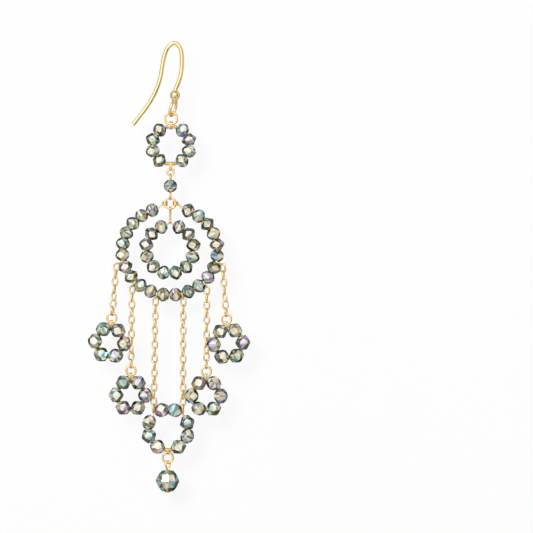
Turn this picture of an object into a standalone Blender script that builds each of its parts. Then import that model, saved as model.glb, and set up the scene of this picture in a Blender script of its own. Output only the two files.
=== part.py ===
# Chandelier drop earring: crystal beads strung on gold wire, hung from a fish-hook ear wire.
# Metres, +Z up. The origin is the top of the hook's bow on its inner side, where it hangs.
# The earring faces -Y, and everything below the hook hangs on one plumb line.

import math

import bmesh
import bpy
from mathutils import Vector

MM = 0.001

# Wires, by their thickness
EAR_WIRE = 1.0 * MM
TOP_RING_WIRE = 0.5 * MM
JUMP_RING_WIRE = 0.42 * MM
LINK_RING_WIRE = 0.3 * MM
PIN_WIRE = 0.3 * MM
BAIL_WIRE = 0.28 * MM
CHAIN_WIRE = 0.3 * MM
THREAD = 0.6 * MM
THREAD_END = 0.43 * MM
PLAY = 0.08 * MM  # clear space where one loop hangs in another
LINK_BAIL_EXTRA = 0.6 * MM  # by which a bail is longer than round
FLOWER_BAIL_EXTRA = 0.4 * MM
BAIL_NESTING = 0.6  # how near a bail's wire lies to the thread it is fused to, 1 being tangent
HOOP_END_DROP = 1.3 * MM  # from the connector's middle down to the hoop's first beads

# Ear wire: its bow and tail, its ball and the loop below
HOOK_REACH = 10.4 * MM
HOOK_DROP = 20.4 * MM
BALL_DROP = 12.95 * MM
BALL = 2.5 * MM
BALL_OFFSET = 0.3 * MM
EAR_LOOP_HEIGHT = 4.65 * MM
EAR_LOOP_WIDTH = 3.9 * MM
EAR_LOOP_NECK = 0.2 * MM  # from the ball down to the loop's middle line
EAR_LOOP_TURN = math.radians(70)
PLUMB_OFFSET = -0.6 * MM  # sideways, from the bow to the line that the drop hangs on

# across as a share of HOOK_REACH, down as a share of HOOK_DROP, both from the bow's crown
HOOK_ROUTE = (
    (0.045, 0.560),
    (0.108, 0.480),
    (0.164, 0.385),
    (0.184, 0.300),
    (0.184, 0.135),
    (0.138, 0.038),
    (0.020, 0.000),
    (-0.150, 0.038),
    (-0.222, 0.125),
    (-0.270, 0.290),
    (-0.300, 0.420),
    (-0.360, 0.520),
    (-0.485, 0.655),
    (-0.640, 0.780),
    (-0.815, 0.885),
    (-0.975, 1.000),
)

# Rings of round wire, by their outer width
TOP_RING = 3.5 * MM
LINK_RING = 2.0 * MM
CONNECTOR_RING = 3.1 * MM
FLOWER_JUMP_RING = 2.75 * MM
BOTTOM_JUMP_RING = 3.0 * MM

# Crystal beads: width across, length along the thread, and the flat ends
BEAD_WIDTH = 3.1 * MM
BEAD_LENGTH = 2.62 * MM
LONG_BEAD_WIDTH = 3.0 * MM
LONG_BEAD_LENGTH = 3.05 * MM
BEAD_END = 0.6 * MM
BEAD_BORE = 0.46 * MM

# Strings: how many beads, and the thread that shows between them
TOP_STRING_SIDE_COUNT = 4
TOP_STRING_GAP = 0.26 * MM
TOP_STRING_SPAN = 3.05 * MM
HOOP_COUNT = 22
HOOP_GAP = 0.3 * MM
HOOP_SLOT = 0.55 * MM  # the wider gap where a chain hangs
HOOP_OPENING = 6.0 * MM
HOOP_OVAL = 0.04  # share by which the hoop is wider, and as much lower, than a circle
INNER_COUNT = 12
INNER_GAP = 0.36 * MM
INNER_OPENING = 1.8 * MM
FLOWER_COUNT = 6
FLOWER_GAP = 0.6 * MM
BOTTOM_TOP_GAP = 0.2 * MM
BOTTOM_SLOT = 1.35 * MM
BOTTOM_SIDE_GAP = 0.3 * MM
BOTTOM_LOW_GAP = 0.4 * MM
BOTTOM_OPENING = 2.2 * MM

# Eyes, by the radius of the wire's middle line
PIN_TOP_EYE = 0.72 * MM
PIN_LOW_EYE = 0.95 * MM
HANGER_TOP_EYE = 0.5 * MM
HANGER_LOW_EYE = 0.6 * MM
DROP_EYE = 0.85 * MM
HANGER_LENGTH = 3.97 * MM

# Cable chains: one link, and how far neighbours are pressed into each other
LINK_LENGTH = 2.36 * MM
LINK_WIDTH = 1.45 * MM
LINK_BITE = 0.08 * MM
TWISTED_LINKS = 3  # links at a strand's end that share its quarter turn

# The drop at the bottom
DROP_WIDTH = 6.0 * MM
DROP_LENGTH = 5.1 * MM
DROP_END = 2.0 * MM
DROP_STEM = 0.7 * MM
PIN_HEAD = 1.5 * MM
PIN_HEAD_THICKNESS = 0.22 * MM

# Sides of the round shapes, and points along a bent wire
EAR_WIRE_SIDES = 8
WIRE_SIDES = 6
CHAIN_SIDES = 5
BEAD_SIDES = 8
DROP_SIDES = 10
HEAD_SIDES = 12
BALL_SEGMENTS = 12
BALL_RINGS = 8
HOOK_STEPS = 2
LOOP_POINTS = 14
RING_POINTS = 12
EYE_POINTS = 10

# One side's chains: number, hoop slot after this bead, reach of the first link past the thread,
# its droop below the hoop's radius, hanging links, and how far the strand leans out
CHAINS = (
    (1, 6, 1.75 * MM, math.radians(9), 7, math.radians(4.6)),
    (2, 8, 1.50 * MM, math.radians(13), 11, math.radians(0.2)),
    (3, 10, 1.30 * MM, 0.0, 16, None),
)

# width and length as shares of half a link
LINK_OUTLINE = ((0.4, 1.0), (1.0, 0.52))
# along and out as shares of half a bead's length and width
BEAD_OUTLINE = ((0.0, 1.0),)
DROP_OUTLINE = ((0.0, 1.0), (0.5, 0.72))

X = Vector((1, 0, 0))
Y = Vector((0, 1, 0))
Z = Vector((0, 0, 1))


def clear_scene():
    for obj in list(bpy.data.objects):
        bpy.data.objects.remove(obj, do_unlink=True)


def make_material(name, colour, metallic, roughness, alpha=1.0):
    material = bpy.data.materials.new(name)
    material.use_nodes = True
    shader = material.node_tree.nodes["Principled BSDF"]
    shader.inputs["Base Color"].default_value = (*colour, 1.0)
    shader.inputs["Metallic"].default_value = metallic
    shader.inputs["Roughness"].default_value = roughness
    shader.inputs["Alpha"].default_value = alpha
    return material


def gold():
    return make_material("gold wire", (0.86, 0.64, 0.30), 1.0, 0.2)


def crystal():
    return make_material("smoky crystal", (0.42, 0.45, 0.36), 0.0, 0.05, 0.6)


def add_object(name, bm, material, parent=None):
    bmesh.ops.recalc_face_normals(bm, faces=bm.faces)
    mesh = bpy.data.meshes.new(name)
    bm.to_mesh(mesh)
    bm.free()
    mesh.materials.append(material)
    mesh.shade_smooth()
    mesh.set_sharp_from_angle(angle=math.radians(35))
    obj = bpy.data.objects.new(name, mesh)
    bpy.context.scene.collection.objects.link(obj)
    if parent:
        obj.parent = parent
        obj.matrix_parent_inverse = parent.matrix_world.inverted()
    return obj


def fuse(obj, bm):
    """Joins the closed shapes of bm, which don't meet each other, to the object."""
    tool = add_object(obj.name + "_joined", bm, obj.data.materials[0])
    tool.hide_render = True
    tool.display_type = "WIRE"
    union = obj.modifiers.new("Join", "BOOLEAN")
    union.operation = "UNION"
    union.solver = "EXACT"
    union.object = tool


def add_section(bm, centre, across, normal, radius, sides, stretch=1.0, turn=0.0):
    corners = []
    for i in range(sides):
        angle = turn + math.tau * i / sides
        out = across * (math.cos(angle) * radius * stretch) + normal * (math.sin(angle) * radius)
        corners.append(bm.verts.new(centre + out))
    return corners


def skin(bm, sections, closed):
    pairs = list(zip(sections, sections[1:]))
    if closed:
        pairs.append((sections[-1], sections[0]))
    else:
        bm.faces.new(sections[0])
        bm.faces.new(sections[-1])
    for first, second in pairs:
        for i in range(len(first)):
            j = (i + 1) % len(first)
            bm.faces.new((first[i], first[j], second[j], second[i]))


def add_wire(bm, points, normal, thickness, sides, closed):
    """A wire along points that lie in the plane with this normal."""
    sections = []
    last = len(points) - 1
    for i, point in enumerate(points):
        before = points[i - 1] if closed or i else point * 2 - points[1]
        after = points[(i + 1) % len(points)] if closed or i < last else point * 2 - points[i - 1]
        into = (point - before).normalized()
        along = (into + (after - point).normalized()).normalized()
        across = normal.cross(along).normalized()
        stretch = 1.0 / along.dot(into)
        sections.append(add_section(bm, point, across, normal, thickness / 2, sides, stretch))
    skin(bm, sections, closed)


def circle(centre, right, up, wide, high, count):
    """Points of an ellipse, anticlockwise, seen with right to the right and up on top."""
    points = []
    for i in range(count):
        angle = math.tau * (i + 0.5) / count
        points.append(centre + right * (wide * math.cos(angle)) + up * (high * math.sin(angle)))
    return points


def add_ring(bm, centre, right, up, outer_width, thickness):
    radius = (outer_width - thickness) / 2
    points = circle(centre, right, up, radius, radius, RING_POINTS)
    add_wire(bm, points, right.cross(up), thickness, WIRE_SIDES, True)


def add_bail(bm, held, held_thickness, toward, extra=0.0, right=Y):
    """A closed loop round a wire at held, just clear of it, with any extra length toward the thread."""
    radius = bail_radius(held_thickness)
    points = circle(held + toward * (extra / 2), right, toward, radius, radius + extra / 2, EYE_POINTS)
    add_wire(bm, points, right.cross(toward), BAIL_WIRE, CHAIN_SIDES, True)


def bail_radius(held_thickness):
    return held_thickness / 2 + PLAY + BAIL_WIRE / 2


def bail_depth(held_thickness):
    """From the thread's middle to the middle of the wire that its bail holds."""
    return bail_radius(held_thickness) + BAIL_NESTING * (BAIL_WIRE + THREAD) / 2


def smooth_route(points, steps):
    """A smooth line through the points, as a Catmull-Rom spline."""
    ends = [points[0] * 2 - points[1], *points, points[-1] * 2 - points[-2]]
    route = []
    for i in range(1, len(ends) - 2):
        a, b, c, d = ends[i - 1 : i + 3]
        for step in range(steps):
            t = step / steps
            route.append(
                b + (c - a) * (0.5 * t)
                + (a * 2 - b * 5 + c * 4 - d) * (0.5 * t * t)
                + (b * 3 - a - c * 3 + d) * (0.5 * t * t * t)
            )
    return route + [points[-1]]


def ring_radius(pitches):
    """Radius of the circle that chords of these lengths close."""
    low = max(pitches) / 2
    high = sum(pitches)
    for _ in range(60):
        middle = (low + high) / 2
        if sum(2 * math.asin(pitch / (2 * middle)) for pitch in pitches) > math.tau:
            low = middle
        else:
            high = middle
    return high


class Ring:
    """A ring of beads: pitches run clockwise from the gap that is centred at the top."""

    def __init__(self, pitches, width, length, oval=0.0):
        self.radius = ring_radius(pitches)
        self.wide = self.radius * (1 + oval)
        self.high = self.radius * (1 - oval)
        self.width = width
        self.length = length
        spans = [2 * math.asin(pitch / (2 * self.radius)) for pitch in pitches]
        self.angles = []
        angle = spans[0] / 2
        for span in [*spans[1:], 0.0]:
            self.angles.append(angle)
            angle += span

    def top_height(self):
        """From the centre up to the straight thread between the top two beads."""
        first = self.angles[0]
        return self.radius * math.cos(first) + self.length / 2 * math.sin(first)

    def low_height(self):
        """From the centre down to the straight thread between the bottom two beads."""
        low = math.pi - self.angles[len(self.angles) // 2 - 1]
        return self.radius * math.cos(low) + self.length / 2 * math.sin(low)

    def bead(self, index, centre, right, up):
        angle = self.angles[index]
        place = centre + right * (self.wide * math.sin(angle)) + up * (self.high * math.cos(angle))
        along = right * (self.wide * math.cos(angle)) - up * (self.high * math.sin(angle))
        return place, along.normalized()

    def slot(self, after, centre, right, up):
        """The thread's middle between two beads, and the way out from the ring there."""
        first, along = self.bead(after - 1, centre, right, up)
        second, along_next = self.bead(after, centre, right, up)
        middle = (first + along * (self.length / 2) + second - along_next * (self.length / 2)) / 2
        out = right.cross(up).cross(second - first).normalized()
        return middle, out


def bead_sections(bm, place, along, normal, width, length, outline=BEAD_OUTLINE, sides=BEAD_SIDES):
    """The rings of corners of one faceted bead, from end to end."""
    across = normal.cross(along).normalized()
    half = math.pi / sides
    shares = [(-s, r) for s, r in reversed(outline) if s] + list(outline)
    rows = [(-1.0, BEAD_END / width), *shares, (1.0, BEAD_END / width)]
    return [
        add_section(bm, place + along * (s * length / 2), across, normal, r * width / 2, sides, 1.0, half)
        for s, r in rows
    ]


def add_string(bm, ring, centre, right, up, head=None, tail=None):
    """Beads and their thread as one body. With no head and tail the string is closed."""
    normal = right.cross(up)
    sections = []
    if head:
        sections.append(thread_end(bm, head, normal, right))
    for index in range(len(ring.angles)):
        place, along = ring.bead(index, centre, right, up)
        sections += bead_sections(bm, place, along, normal, ring.width, ring.length)
    if tail:
        sections.append(thread_end(bm, tail, normal, right))
    skin(bm, sections, closed=not head)


def thread_end(bm, point, normal, along):
    across = normal.cross(along)
    return add_section(bm, point, across, normal, THREAD_END / 2, BEAD_SIDES, 1.0, math.pi / BEAD_SIDES)


def add_link(bm, top, down, side, length, width=LINK_WIDTH):
    """One chain link from the middle of its top bar, hanging along down, wide along side."""
    half_width = (width - CHAIN_WIRE) / 2
    half_length = (length - CHAIN_WIRE) / 2
    quarter = [(w * half_width, l * half_length) for w, l in LINK_OUTLINE]
    right = quarter + [(w, -l) for w, l in reversed(quarter)]
    outline = right + [(-w, -l) for w, l in right]
    centre = top + down * half_length
    points = [centre + side * w + down * l for w, l in outline]
    add_wire(bm, points, side.cross(down), CHAIN_WIRE, CHAIN_SIDES, True)


def eye_pin_points(top_eye, top_radius, low_eye=None, low_radius=0.0, low_end=None):
    """A wire bent in the YZ plane: an eye, a stem, and a second eye or a plain end."""
    arc = range(1, EYE_POINTS)
    points = [top_eye + turned(top_radius, math.tau * i / EYE_POINTS) for i in arc]
    points.append(top_eye + turned(top_radius, math.tau))
    if low_end:
        return points + [low_end]
    points.append(low_eye + turned(low_radius, math.pi))
    return points + [low_eye + turned(low_radius, math.pi - math.tau * i / EYE_POINTS) for i in arc]


def turned(radius, angle):
    """An offset in the YZ plane, by its angle from straight down."""
    return Y * (radius * math.sin(angle)) - Z * (radius * math.cos(angle))


def hang(wire_place, wire_thickness, loop_thickness, loop_radius):
    """Centre of an upright loop that hangs from a level wire."""
    lift = wire_thickness / 2 + PLAY + loop_thickness / 2
    return wire_place + Z * (lift - loop_radius)


def lathe(bm, centre, rows, sides):
    """The rings of corners of a turned shape round Z, from (radius, height) rows."""
    half = math.pi / sides
    return [add_section(bm, centre + Z * z, X, Y, radius, sides, 1.0, half) for radius, z in rows]


def build_ear_wire(material):
    crown = Z * (EAR_WIRE / 2)
    route = [crown + X * (across * HOOK_REACH) - Z * (down * HOOK_DROP) for across, down in HOOK_ROUTE]
    ball = crown + X * BALL_OFFSET - Z * BALL_DROP
    bm = bmesh.new()
    add_wire(bm, smooth_route([ball, *route], HOOK_STEPS), Y, EAR_WIRE, EAR_WIRE_SIDES, False)
    obj = add_object("ear_wire", bm, material)
    bm = bmesh.new()
    bmesh.ops.create_uvsphere(bm, u_segments=BALL_SEGMENTS, v_segments=BALL_RINGS, radius=BALL / 2)
    bmesh.ops.translate(bm, verts=bm.verts, vec=ball)
    fuse(obj, bm)
    top = ball - Z * (BALL / 2 + EAR_LOOP_NECK)
    bottom = Vector((PLUMB_OFFSET, 0, top.z - EAR_LOOP_HEIGHT + EAR_WIRE))
    right = X * math.cos(EAR_LOOP_TURN) + Y * math.sin(EAR_LOOP_TURN)
    wide = (EAR_LOOP_WIDTH - EAR_WIRE) / 2
    up = (top - bottom) / 2
    bm = bmesh.new()
    points = circle((top + bottom) / 2, right, up, wide, 1.0, LOOP_POINTS)
    add_wire(bm, points, right.cross(up).normalized(), EAR_WIRE, EAR_WIRE_SIDES, True)
    fuse(obj, bm)
    return bottom


def build_ring(name, centre, outer_width, thickness, material, parent):
    bm = bmesh.new()
    add_ring(bm, centre, X, Z, outer_width, thickness)
    return add_object(name, bm, material, parent)


def build_top_string(centre, ring, held_top, held_low, material, parent):
    bm = bmesh.new()
    add_string(bm, ring, centre, X, Z)
    obj = add_object("top_bead_ring", bm, material, parent)
    bm = bmesh.new()
    add_bail(bm, centre + Z * (ring.top_height() + bail_depth(held_top)), held_top, -Z)
    low = centre - Z * (ring.low_height() + bail_depth(held_low) + LINK_BAIL_EXTRA)
    add_bail(bm, low, held_low, Z, LINK_BAIL_EXTRA)
    fuse(obj, bm)


def build_bead(name, centre, width, length, outline, bore, sides, material, parent):
    """A drilled faceted bead on an upright pin."""
    shares = [(-s, r) for s, r in reversed(outline) if s] + list(outline)
    rows = [(r * width / 2, s * length / 2) for s, r in shares]
    end = (BEAD_END if width == BEAD_WIDTH else DROP_END) / 2
    rows = [(end, -length / 2), *rows, (end, length / 2), (bore / 2, length / 2), (bore / 2, -length / 2)]
    bm = bmesh.new()
    skin(bm, lathe(bm, centre, rows, sides), True)
    return add_object(name, bm, material, parent)


def build_chain(number, side, thread, out, reach, droop, count, lean, end, material, parent):
    """A first link round the hoop's thread, then links that hang from it; returns the last bar."""
    down = -Z
    first = rotated(out, side * droop)
    inner = (THREAD + CHAIN_WIRE) / 2 + PLAY
    start = thread + first * reach
    if end is not None:
        down = (end - start).normalized()
    else:
        down = (X * (side * math.sin(lean)) - Z * math.cos(lean)).normalized()
    across = Y.cross(down)
    press = CHAIN_WIRE - LINK_BITE
    length = LINK_LENGTH
    if end is not None:
        length = (end - start).length / count + press + CHAIN_WIRE
    pitch = length - CHAIN_WIRE - press
    bodies = (bmesh.new(), bmesh.new())
    add_link(bodies[0], thread - first * inner, first, Y, reach + inner + CHAIN_WIRE)
    twist = math.pi / 2 if count % 2 else 0.0
    late = max(0, count - TWISTED_LINKS - 1)
    for k in range(count):
        turn = k * math.pi / 2 + twist * max(0, k - late) / (count - 1 - late)
        wide = across * math.cos(turn) + Y * math.sin(turn)
        add_link(bodies[(k + 1) % 2], start - down * press + down * (k * pitch), down, wide, length)
    obj = add_object(f"chain_{number}", bodies[0], material, parent)
    fuse(obj, bodies[1])
    return start + down * (count * pitch), down


def rotated(direction, angle):
    """Turned in the XZ plane; a positive angle turns +X down."""
    c = math.cos(angle)
    s = math.sin(angle)
    return Vector((direction.x * c + direction.z * s, 0, direction.z * c - direction.x * s))


def build_flower(number, held, down, material_wire, material, parent):
    """The jump ring and the flower at a chain's end."""
    up = -down
    right = Y.cross(up)
    radius = (FLOWER_JUMP_RING - JUMP_RING_WIRE) / 2
    top = held + up * ((CHAIN_WIRE + JUMP_RING_WIRE) / 2 + PLAY)
    bm = bmesh.new()
    add_ring(bm, top + down * radius, right, up, FLOWER_JUMP_RING, JUMP_RING_WIRE)
    add_object(f"flower_jump_ring_{number}", bm, material_wire, parent)
    ring = flower_ring()
    bail = top + down * (2 * radius)
    centre = bail + down * (bail_depth(JUMP_RING_WIRE) + FLOWER_BAIL_EXTRA + ring.top_height())
    bm = bmesh.new()
    add_string(bm, ring, centre, right, up)
    obj = add_object(f"flower_ring_{number}", bm, material, parent)
    bm = bmesh.new()
    add_bail(bm, bail, JUMP_RING_WIRE, down, FLOWER_BAIL_EXTRA)
    fuse(obj, bm)


def top_string_ring():
    side = [BEAD_LENGTH + TOP_STRING_GAP] * (TOP_STRING_SIDE_COUNT - 1)
    wide = BEAD_LENGTH + TOP_STRING_SPAN
    return Ring([wide, *side, wide, *side], BEAD_WIDTH, BEAD_LENGTH)


def outer_hoop_ring():
    slots = [slot for _, slot, *_ in CHAINS]
    slots += [HOOP_COUNT - slot for slot in slots]
    gaps = [HOOP_SLOT if k in slots else HOOP_GAP for k in range(1, HOOP_COUNT)]
    pitches = [BEAD_LENGTH + gap for gap in [HOOP_OPENING, *gaps]]
    return Ring(pitches, BEAD_WIDTH, BEAD_LENGTH, HOOP_OVAL)


def inner_hoop_ring():
    gaps = [INNER_OPENING] + [INNER_GAP] * (INNER_COUNT - 1)
    return Ring([BEAD_LENGTH + gap for gap in gaps], BEAD_WIDTH, BEAD_LENGTH)


def flower_ring():
    return Ring([LONG_BEAD_LENGTH + FLOWER_GAP] * FLOWER_COUNT, LONG_BEAD_WIDTH, LONG_BEAD_LENGTH)


def bottom_string_ring():
    side = [BOTTOM_SLOT, BOTTOM_SIDE_GAP, BOTTOM_LOW_GAP]
    gaps = [BOTTOM_TOP_GAP, *side, BOTTOM_OPENING, *reversed(side)]
    return Ring([LONG_BEAD_LENGTH + gap for gap in gaps], LONG_BEAD_WIDTH, LONG_BEAD_LENGTH)


def main():
    clear_scene()
    wire = gold()
    glass = crystal()

    loop_wire = build_ear_wire(wire)
    plumb = X * PLUMB_OFFSET

    ring_radius_top = (TOP_RING - TOP_RING_WIRE) / 2
    ring_top = loop_wire + Z * ((EAR_WIRE + TOP_RING_WIRE) / 2 + PLAY)
    sway = bpy.data.objects.new("sway_axis", None)
    sway.location = loop_wire
    bpy.context.scene.collection.objects.link(sway)
    swing = bpy.data.objects.new("swing_axis", None)
    swing.location = ring_top - Z * (2 * ring_radius_top)
    bpy.context.scene.collection.objects.link(swing)
    bpy.context.view_layer.update()
    build_ring("top_jump_ring", ring_top - Z * ring_radius_top, TOP_RING, TOP_RING_WIRE, wire, sway)

    string = top_string_ring()
    centre = swing.location - Z * (bail_depth(TOP_RING_WIRE) + string.top_height())
    build_top_string(centre, string, TOP_RING_WIRE, LINK_RING_WIRE, glass, swing)
    link_top = centre - Z * (string.low_height() + bail_depth(LINK_RING_WIRE) + LINK_BAIL_EXTRA)

    link_radius = (LINK_RING - LINK_RING_WIRE) / 2
    build_ring("link_ring", link_top - Z * link_radius, LINK_RING, LINK_RING_WIRE, wire, swing)
    link_low = link_top - Z * (2 * link_radius)

    top_eye = hang(link_low, LINK_RING_WIRE, PIN_WIRE, PIN_TOP_EYE)
    eye_clear = PIN_WIRE / 2 + PLAY
    bead = top_eye - Z * (PIN_TOP_EYE + eye_clear + BEAD_LENGTH / 2)
    low_eye = bead - Z * (BEAD_LENGTH / 2 + eye_clear + PIN_LOW_EYE)
    bm = bmesh.new()
    points = eye_pin_points(top_eye, PIN_TOP_EYE, low_eye, PIN_LOW_EYE)
    add_wire(bm, points, X, PIN_WIRE, WIRE_SIDES, False)
    add_object("link_pin", bm, wire, swing)
    build_bead("link_bead", bead, BEAD_WIDTH, BEAD_LENGTH, BEAD_OUTLINE, BEAD_BORE, BEAD_SIDES, glass, swing)

    connector_radius = (CONNECTOR_RING - JUMP_RING_WIRE) / 2
    eye_bar = low_eye - Z * PIN_LOW_EYE
    connector = eye_bar + Z * ((PIN_WIRE + JUMP_RING_WIRE) / 2 + PLAY - connector_radius)
    build_ring("connector_ring", connector, CONNECTOR_RING, JUMP_RING_WIRE, wire, swing)

    hoop = outer_hoop_ring()
    first, along = hoop.bead(0, Vector(), X, Z)
    hoop_centre = connector - Z * (HOOP_END_DROP + (first - along * (BEAD_LENGTH / 2)).z)
    bm = bmesh.new()
    end_reach = connector_radius + bail_radius(JUMP_RING_WIRE)
    add_string(bm, hoop, hoop_centre, X, Z, connector + X * end_reach, connector - X * end_reach)
    outer = add_object("outer_hoop", bm, glass, swing)
    bm = bmesh.new()
    for side in (-1, 1):
        add_bail(bm, connector + X * (side * connector_radius), JUMP_RING_WIRE, X, 0.0, Y)
    fuse(outer, bm)

    hanger_top = hang(connector - Z * connector_radius, JUMP_RING_WIRE, PIN_WIRE, HANGER_TOP_EYE)
    hanger_low = hanger_top - Z * HANGER_LENGTH
    bm = bmesh.new()
    points = eye_pin_points(hanger_top, HANGER_TOP_EYE, hanger_low, HANGER_LOW_EYE)
    add_wire(bm, points, X, PIN_WIRE, WIRE_SIDES, False)
    add_object("hoop_hanger", bm, wire, swing)
    inner = inner_hoop_ring()
    inner_thread = hanger_low - Z * (HANGER_LOW_EYE - (PIN_WIRE + THREAD) / 2 - PLAY)
    bm = bmesh.new()
    add_string(bm, inner, inner_thread - Z * inner.top_height(), X, Z)
    add_object("inner_hoop", bm, glass, swing)

    bottom = bottom_string_ring()
    bar_clear = (THREAD + CHAIN_WIRE) / 2 + PLAY
    bottom_centre = None
    for number, slot, reach, droop, count, lean in CHAINS:
        for side in (-1, 1):
            after = HOOP_COUNT - slot if side < 0 else slot
            thread, out = hoop.slot(after, hoop_centre, X, Z)
            end = None
            if lean is None:
                shoulder, _ = bottom.slot(1, Vector(), X, Z)
                start = thread + rotated(out, side * droop) * reach
                run = count * (LINK_LENGTH - 2 * CHAIN_WIRE + LINK_BITE)
                offset = hoop_centre.x + side * shoulder.x - start.x
                end = start + X * offset - Z * math.sqrt(run * run - offset * offset)
                bottom_centre = Vector((hoop_centre.x, 0, end.z + bar_clear - shoulder.z))
            name = number if side < 0 else 2 * len(CHAINS) + 1 - number
            bar, down = build_chain(name, side, thread, out, reach, droop, count, lean, end, wire, swing)
            if lean is not None:
                build_flower(name, bar, down, wire, glass, swing)

    bm = bmesh.new()
    add_string(bm, bottom, bottom_centre, X, Z)
    low_ring = add_object("bottom_bead_ring", bm, glass, swing)
    low_bail = bottom_centre - Z * (bottom.low_height() + bail_depth(JUMP_RING_WIRE))
    bm = bmesh.new()
    add_bail(bm, low_bail, JUMP_RING_WIRE, Z)
    fuse(low_ring, bm)

    low_radius = (BOTTOM_JUMP_RING - JUMP_RING_WIRE) / 2
    build_ring("bottom_jump_ring", low_bail - Z * low_radius, BOTTOM_JUMP_RING, JUMP_RING_WIRE, wire, swing)
    drop_eye = hang(low_bail - Z * (2 * low_radius), JUMP_RING_WIRE, PIN_WIRE, DROP_EYE)
    drop = drop_eye - Z * (DROP_EYE + DROP_STEM + DROP_LENGTH / 2)
    head_top = drop - Z * (DROP_LENGTH / 2 + PLAY)
    bm = bmesh.new()
    points = eye_pin_points(drop_eye, DROP_EYE, low_end=head_top - Z * (PIN_HEAD_THICKNESS / 2))
    add_wire(bm, points, X, PIN_WIRE, WIRE_SIDES, False)
    pin = add_object("drop_pin", bm, wire, swing)
    bm = bmesh.new()
    bmesh.ops.create_cone(bm, cap_ends=True, segments=HEAD_SIDES, radius1=PIN_HEAD / 2, radius2=PIN_HEAD / 2,
                          depth=PIN_HEAD_THICKNESS)
    bmesh.ops.translate(bm, verts=bm.verts, vec=head_top - Z * (PIN_HEAD_THICKNESS / 2))
    fuse(pin, bm)
    build_bead("drop_bead", drop, DROP_WIDTH, DROP_LENGTH, DROP_OUTLINE, BEAD_BORE, DROP_SIDES, glass, swing)


main()
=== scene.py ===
import math
import random

import bmesh
import bpy
from mathutils import Matrix, Vector


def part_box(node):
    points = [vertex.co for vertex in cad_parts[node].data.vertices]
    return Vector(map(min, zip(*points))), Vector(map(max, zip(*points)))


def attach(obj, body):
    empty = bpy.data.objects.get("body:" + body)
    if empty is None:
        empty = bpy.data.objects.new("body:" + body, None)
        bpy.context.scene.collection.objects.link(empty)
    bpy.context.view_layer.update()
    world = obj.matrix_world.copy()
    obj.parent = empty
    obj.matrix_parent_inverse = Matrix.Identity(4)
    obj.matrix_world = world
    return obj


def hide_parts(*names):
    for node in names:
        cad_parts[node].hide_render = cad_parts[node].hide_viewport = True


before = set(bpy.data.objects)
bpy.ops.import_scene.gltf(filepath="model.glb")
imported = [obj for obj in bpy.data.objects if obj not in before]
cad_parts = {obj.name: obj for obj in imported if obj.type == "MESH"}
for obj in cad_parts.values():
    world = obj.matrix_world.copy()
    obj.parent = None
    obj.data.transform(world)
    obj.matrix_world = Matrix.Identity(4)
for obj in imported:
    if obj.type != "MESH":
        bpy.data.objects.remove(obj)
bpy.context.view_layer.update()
mm = 0.001
xAxis, yAxis, zAxis = Vector((1, 0, 0)), Vector((0, 1, 0)), Vector((0, 0, 1))
dice = random.Random(11)
print("frame loaded")


# camera and light, as in the studio picture: straight on, on white, in metres and watts
studio = {
    "pixelsPerMm": 4.0,
    "imageSide": 533,
    "bowPixel": (174.2, 45.5),  # where the origin, the bow's inner crown, lies in the picture
    "roll": 0.0096,
    "distance": 0.9,
    "sensor": 36,
    "clip": (0.01, 20),
    "aim": (0.0, 0.0, -0.055),  # the middle of the earring
    "backdrop": (1, 1, 1, 1),
    "front": (0.78, 0.77, 0.75, 1),
    "turnsWhite": (-0.1, 0.35),  # where the room goes from the front's grey to the backdrop's white
    "lamps": {
        "keyLamp": {"place": (-0.45, -0.8, 0.6), "size": 0.34, "power": 1.0},
        "broadSoftbox": {"place": (-0.25, -1.3, 0.7), "size": 1.7, "power": 9.0},
        "stripLight": {"place": (-0.62, -1.0, 0.0), "size": 0.6, "height": 1.5, "power": 2.6},
        "glintLamp": {"place": (-0.45, -0.82, 0.7), "size": 0.26, "power": 9.0},
    },
    "cardColour": (0.03, 0.028, 0.02),
    # where they stand, and how wide and high they are
    "darkCards": (((1.1, -0.5, -0.05), (0.34, 1.7)), ((-1.15, 0.05, -0.05), (0.26, 1.6)),
                  ((0.85, -0.95, -0.34), (0.8, 0.2)), ((0.1, -0.8, -1.0), (0.9, 0.4)),
                  ((0.2, -0.3, 1.1), (1.2, 0.3)),
                  ((0.0, 0.4, -0.055), (0.7, 0.7))),  # the last stands behind and darkens the rims
    "floorColour": (0.86, 0.86, 0.85),
    "floorDrop": 1.3,
    "floorSide": 12,
    "sheetColour": (0.0490, 0.0490, 0.0488),  # with its own light it comes out just white
    "sheetBehind": 0.095,  # behind the swing's reach
    "sheetSide": 0.5,
    "sheetLight": 42.0,  # unshadowed light on the sheet alone, which keeps its shadows faint
    "castPower": 10.0,
    "castOffset": (-0.032, 0.0, 0.034),  # from the camera: the shadow falls a little right and down
    "castSize": 0.045,
}


def addCamera():
    side = studio["imageSide"] / studio["pixelsPerMm"] * mm
    half = studio["imageSide"] / 2
    across, down = ((half - pixel) / studio["pixelsPerMm"] * mm for pixel in studio["bowPixel"])
    roll = studio["roll"]
    centre = Vector((across + down * roll, 0, across * roll - down))
    cam = bpy.data.objects.new("camera", bpy.data.cameras.new("camera"))
    cam.location = centre - yAxis * studio["distance"]
    cam.rotation_euler = (math.pi / 2, -roll, 0)
    cam.data.sensor_width = studio["sensor"]
    cam.data.lens = studio["sensor"] * studio["distance"] / side
    cam.data.clip_start, cam.data.clip_end = studio["clip"]
    bpy.context.scene.collection.objects.link(cam)
    bpy.context.scene.camera = cam


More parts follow.
